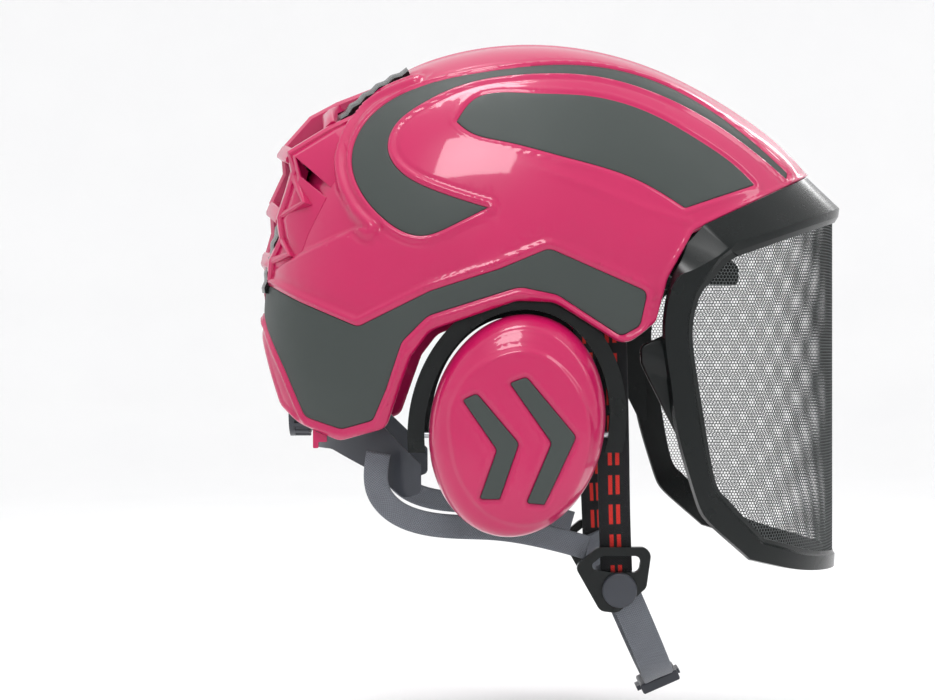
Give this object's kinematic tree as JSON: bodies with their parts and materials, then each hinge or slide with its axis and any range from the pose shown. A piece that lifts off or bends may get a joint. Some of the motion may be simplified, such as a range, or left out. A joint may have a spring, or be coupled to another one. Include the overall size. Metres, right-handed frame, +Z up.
{
  "type": "forestry helmet",
  "caption": "Forestry helmet: glossy two-tone shell, raisable mesh visor, swinging ear muffs, size-adjustable harness and chin strap.",
  "frame": {"origin": "centre of the head cavity, in the plane of the headband", "axes": "+X forward (the way the wearer looks), +Z up, +Y to the wearer's left"},
  "size_m": [0.3205, 0.256, 0.3582],
  "materials": {
    "pink_shell": "high-gloss injection-moulded pink",
    "dark_inlay": "satin dark grey film",
    "black_plastic": "satin black moulded plastic",
    "visor_mesh": "etched hexagonal steel mesh, grey lacquer",
    "steel_pin": "satin",
    "liner_foam": "fine bead foam, matte",
    "grey_plastic": "satin dark grey moulded plastic",
    "pad_textile": "spacer mesh textile",
    "cushion_vinyl": "soft matte vinyl",
    "grey_webbing": "woven polyester webbing",
    "black_webbing": "woven polyester webbing"
  },
  "bodies": {
    "helmet": {"outer_shell": "pink_shell", "rear_vent_cover": "pink_shell", "lobe_tabs": "pink_shell", "leaf_inlay_right": "dark_inlay", "leaf_inlay_left": "dark_inlay", "sweep_inlay_right": "dark_inlay", "sweep_inlay_left": "dark_inlay", "side_inlay_right": "dark_inlay", "side_inlay_left": "dark_inlay", "impact_liner": "liner_foam", "headband": "grey_plastic", "brow_pad": "pad_textile", "crown_strap_long": "grey_webbing", "crown_strap_cross": "grey_webbing", "harness_clips": "grey_plastic", "chin_strap": "grey_webbing", "buckle_body": "grey_plastic", "front_strap_right": "black_webbing", "front_strap_left": "black_webbing", "rear_strap_right": "grey_webbing", "rear_strap_left": "grey_webbing", "strap_divider_right": "grey_plastic", "strap_divider_left": "grey_plastic", "divider_cap_right": "grey_plastic", "divider_cap_left": "grey_plastic", "visor_guide_right": "black_plastic", "visor_guide_left": "black_plastic", "muff_bracket_right": "black_plastic", "muff_bracket_left": "black_plastic"},
    "visor": {"visor_frame": "black_plastic", "visor_mesh": "visor_mesh", "visor_arm_pins": "black_plastic", "visor_arm_right": "black_plastic", "visor_arm_left": "black_plastic"},
    "muff_carrier_right": {"muff_carrier_right": "black_plastic"},
    "muff_yoke_right": {"muff_yoke_right": "black_plastic"},
    "ear_cup_right": {"cup_tilt_pins_right": "steel_pin", "cup_cover_right": "pink_shell", "cup_chevrons_right": "dark_inlay", "cup_back_right": "black_plastic", "cup_cushion_right": "cushion_vinyl", "cup_foam_right": "pad_textile"},
    "muff_carrier_left": {"muff_carrier_left": "black_plastic"},
    "muff_yoke_left": {"muff_yoke_left": "black_plastic"},
    "ear_cup_left": {"cup_tilt_pins_left": "steel_pin", "cup_cover_left": "pink_shell", "cup_chevrons_left": "dark_inlay", "cup_back_left": "black_plastic", "cup_cushion_left": "cushion_vinyl", "cup_foam_left": "pad_textile"},
    "nape": {"nape_cradle": "grey_plastic", "nape_pad": "pad_textile"},
    "size_knob": {"size_knob": "grey_plastic"},
    "buckle_tab_front": {"buckle_tab_front": "grey_plastic"},
    "buckle_tab_rear": {"buckle_tab_rear": "grey_plastic"}
  },
  "joints": [
    {"name": "visor_raise", "type": "hinge", "parent": "helmet", "child": "visor", "pos_m": [0.1163, 0, 0.0425], "axis": [0, -1, 0], "range_deg": [0, 75]},
    {"name": "muff_swing_right", "type": "hinge", "parent": "helmet", "child": "muff_carrier_right", "pos_m": [0.018, -0.093, -0.008], "axis": [-1, 0, 0], "range_deg": [0, 12]},
    {"name": "muff_height_right", "type": "slide", "parent": "muff_carrier_right", "child": "muff_yoke_right", "axis": [0, 0, 1], "range_m": [-0.014, 0]},
    {"name": "cup_tilt_right", "type": "hinge", "parent": "muff_yoke_right", "child": "ear_cup_right", "pos_m": [0.014, -0.0945, -0.088], "axis": [-1, 0, 0], "range_deg": [-6, 6]},
    {"name": "muff_swing_left", "type": "hinge", "parent": "helmet", "child": "muff_carrier_left", "pos_m": [0.018, 0.093, -0.008], "axis": [1, 0, 0], "range_deg": [0, 12]},
    {"name": "muff_height_left", "type": "slide", "parent": "muff_carrier_left", "child": "muff_yoke_left", "axis": [0, 0, 1], "range_m": [-0.014, 0]},
    {"name": "cup_tilt_left", "type": "hinge", "parent": "muff_yoke_left", "child": "ear_cup_left", "pos_m": [0.014, 0.0945, -0.088], "axis": [1, 0, 0], "range_deg": [-6, 6]},
    {"name": "nape_slide", "type": "slide", "parent": "helmet", "child": "nape", "axis": [1, 0, 0], "range_m": [0, 0.008]},
    {"name": "size_knob_turn", "type": "hinge", "parent": "nape", "child": "size_knob", "pos_m": [-0.0985, 0, -0.078], "axis": [-1, 0, 0], "range_deg": [0, 240]},
    {"name": "buckle_press_front", "type": "slide", "parent": "helmet", "child": "buckle_tab_front", "axis": [-0.9165, 0, -0.4001], "range_m": [0, 0.0015], "stiffness_N_per_m": 400},
    {"name": "buckle_press_rear", "type": "slide", "parent": "helmet", "child": "buckle_tab_rear", "axis": [0.9165, 0, 0.4001], "range_m": [0, 0.0015], "stiffness_N_per_m": 400}
  ],
  "couplings": [
    {"joint": "size_knob_turn", "follows": "nape_slide", "rad_per_m": 523.59},
    {"joint": "buckle_press_rear", "follows": "buckle_press_front", "ratio": 1}
  ]
}
